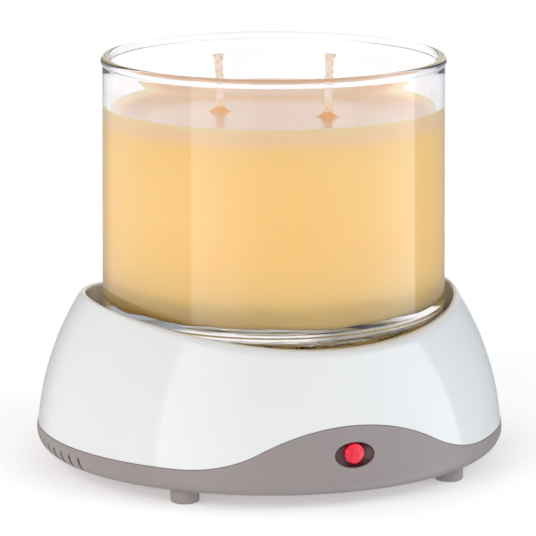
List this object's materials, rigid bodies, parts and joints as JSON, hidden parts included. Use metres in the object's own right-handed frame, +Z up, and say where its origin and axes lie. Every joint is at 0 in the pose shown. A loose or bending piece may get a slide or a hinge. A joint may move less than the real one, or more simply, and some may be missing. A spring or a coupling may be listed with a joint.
{
  "type": "jar candle warmer",
  "caption": "Electric jar-candle warmer: round domed base with a sunken warming plate, indicator lamp and side vents, carrying a lift-off glass jar of wax.",
  "frame": {"origin": "on the table under the centre of the round base", "axes": "-Y points out through the front lamp, +Y out through the cord inlet, +Z up out of the jar's mouth"},
  "size_m": [0.1392, 0.1392, 0.1218],
  "materials": {
    "shell_plastic": "polished white moulding",
    "tray_plastic": "satin taupe moulding",
    "plate_metal": "satin",
    "gasket_rubber": "matt silicone",
    "heater_mica": "pressed mica",
    "inner_steel": "zinc plated",
    "pad_fibre": "needled fibre",
    "fuse_brass": "plain",
    "inner_plastic": "moulded",
    "gland_rubber": "matt",
    "lead_sleeve": "silicone sleeve",
    "lens_plastic": "polished dark red",
    "lamp_red": "polished",
    "bulb_glass": "clear",
    "resistor_body": "lacquered",
    "foot_rubber": "matt",
    "label_foil": "brushed foil, blank",
    "jar_glass": "clear",
    "wax": "smooth wax",
    "wick_cotton": "braided cotton"
  },
  "bodies": {
    "warmer": {"shell_cover": "shell_plastic", "base_tray": "tray_plastic", "warming_plate": "plate_metal", "plate_gasket": "gasket_rubber", "heater_element": "heater_mica", "clamp_plate": "inner_steel", "insulation_pad": "pad_fibre", "heat_shield": "inner_steel", "stud_washers": "inner_steel", "stud_nuts": "inner_steel", "thermal_fuse": "fuse_brass", "fuse_clip": "inner_steel", "terminal_block": "inner_plastic", "block_screw": "inner_steel", "cord_gland": "gland_rubber", "cord_clamp": "inner_plastic", "clamp_screws": "inner_steel", "heater_lead_neutral": "lead_sleeve", "heater_lead_link": "lead_sleeve", "heater_lead_live": "lead_sleeve", "lamp_lens": "lens_plastic", "lamp_cap": "lamp_red", "neon_bulb": "bulb_glass", "lamp_resistor": "resistor_body", "lamp_holder": "inner_plastic", "lamp_lead_live": "lead_sleeve", "lamp_lead_neutral": "lead_sleeve", "foot_front_left": "foot_rubber", "foot_front_right": "foot_rubber", "foot_rear_right": "foot_rubber", "foot_rear_left": "foot_rubber", "case_screws": "inner_steel", "rating_label": "label_foil"},
    "jar": {"jar_glass": "jar_glass", "wax_fill": "wax", "wick_left": "wick_cotton", "wick_right": "wick_cotton", "wick_clip_left": "inner_steel", "wick_clip_right": "inner_steel"}
  },
  "joints": [
    {"name": "jar_lift", "type": "slide", "parent": "warmer", "child": "jar", "axis": [0, 0, 1], "range_m": [0, 0.06]}
  ]
}
